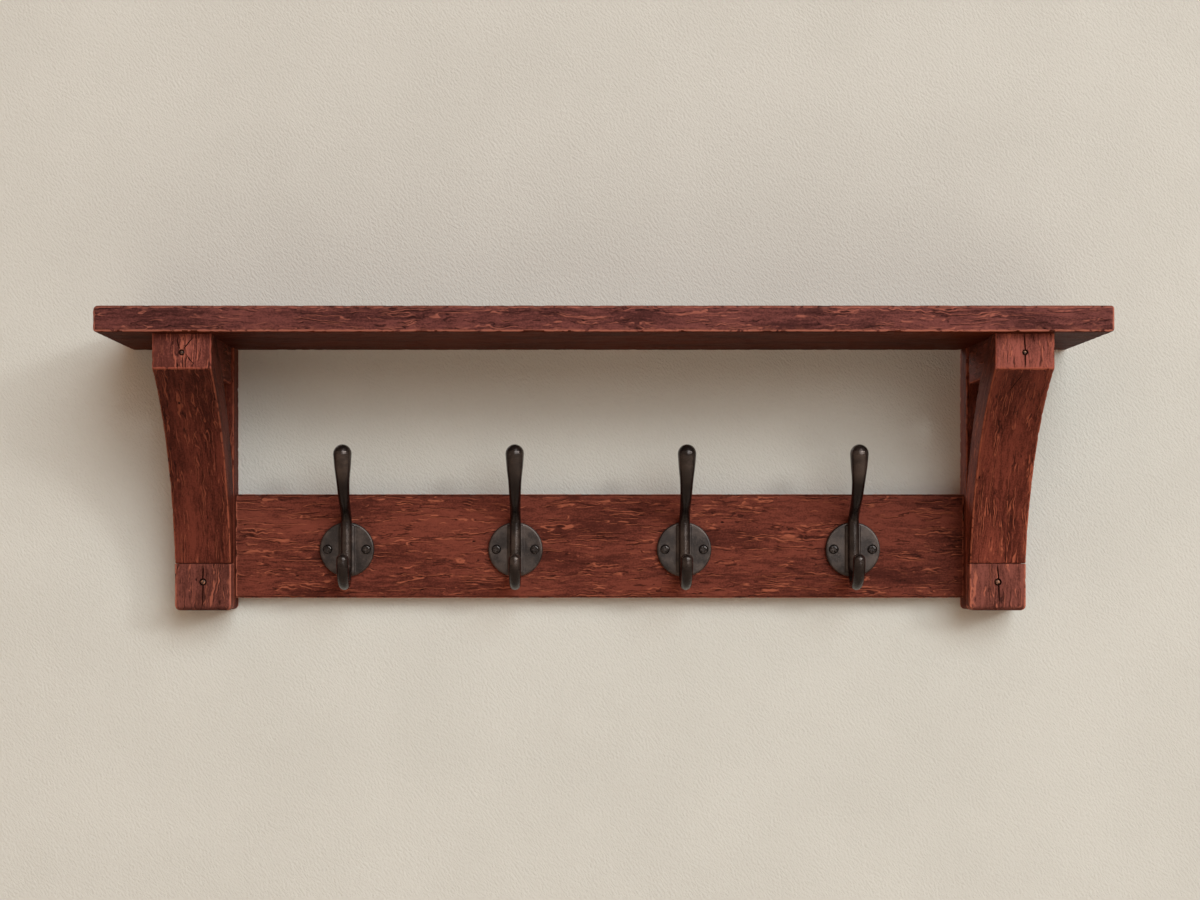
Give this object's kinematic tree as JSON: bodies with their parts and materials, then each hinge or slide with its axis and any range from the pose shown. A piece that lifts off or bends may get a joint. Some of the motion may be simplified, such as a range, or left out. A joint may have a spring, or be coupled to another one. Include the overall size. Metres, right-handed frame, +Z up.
{
  "type": "wall shelf with coat and key hooks",
  "caption": "Wall shelf on two curved wooden brackets, with a rail of cast double-ended hooks between them for keys and coats, hung from keyhole plates.",
  "frame": {"origin": "on the wall plane, midway between the two keyhole hanger holes; the shelf's underside is 70 mm above it", "axes": "+X to the right along the shelf, +Y into the wall, +Z up; the shelf and hooks face -Y"},
  "size_m": [0.762, 0.152, 0.231],
  "materials": {
    "shelf_wood": "red-brown stain, hand scraped and worn, satin",
    "rail_wood": "red-brown stain, hand scraped and worn, satin",
    "bracket_wood": "red-brown stain, hand scraped and worn, satin",
    "block_wood": "red-brown stain, hand scraped and worn, satin",
    "plug_wood": "red-brown stain, hand scraped and worn, satin",
    "dowel_wood": "plain, unfinished",
    "hook_bronze": "oil-rubbed bronze, satin",
    "hook_screw_steel": "blackened, satin",
    "nail_iron": "dark, dull",
    "hanger_steel": "zinc plated",
    "screw_steel": "zinc plated, yellow passivated"
  },
  "bodies": {
    "root": {"hook_1": "hook_bronze", "hook_1_screw_left": "hook_screw_steel", "hook_1_screw_right": "hook_screw_steel", "hook_2": "hook_bronze", "hook_2_screw_left": "hook_screw_steel", "hook_2_screw_right": "hook_screw_steel", "hook_3": "hook_bronze", "hook_3_screw_left": "hook_screw_steel", "hook_3_screw_right": "hook_screw_steel", "hook_4": "hook_bronze", "hook_4_screw_left": "hook_screw_steel", "hook_4_screw_right": "hook_screw_steel", "hook_rail": "rail_wood", "left_arm": "bracket_wood", "left_arm_dowel_1": "dowel_wood", "left_arm_dowel_2": "dowel_wood", "left_brace": "bracket_wood", "left_brace_nail": "nail_iron", "left_brace_screw": "screw_steel", "left_foot_block": "block_wood", "left_foot_nail": "nail_iron", "left_hanger_plate": "hanger_steel", "left_hanger_screw_lower": "hanger_steel", "left_hanger_screw_upper": "hanger_steel", "left_post": "bracket_wood", "left_rail_dowel_lower": "dowel_wood", "left_rail_dowel_upper": "dowel_wood", "left_shelf_plug_front": "plug_wood", "left_shelf_plug_rear": "plug_wood", "left_shelf_screw_front": "screw_steel", "left_shelf_screw_rear": "screw_steel", "right_arm": "bracket_wood", "right_arm_dowel_1": "dowel_wood", "right_arm_dowel_2": "dowel_wood", "right_brace": "bracket_wood", "right_brace_nail": "nail_iron", "right_brace_screw": "screw_steel", "right_foot_block": "block_wood", "right_foot_nail": "nail_iron", "right_hanger_plate": "hanger_steel", "right_hanger_screw_lower": "hanger_steel", "right_hanger_screw_upper": "hanger_steel", "right_post": "bracket_wood", "right_rail_dowel_lower": "dowel_wood", "right_rail_dowel_upper": "dowel_wood", "right_shelf_plug_front": "plug_wood", "right_shelf_plug_rear": "plug_wood", "right_shelf_screw_front": "screw_steel", "right_shelf_screw_rear": "screw_steel", "shelf_board": "shelf_wood"}
  },
  "joints": []
}
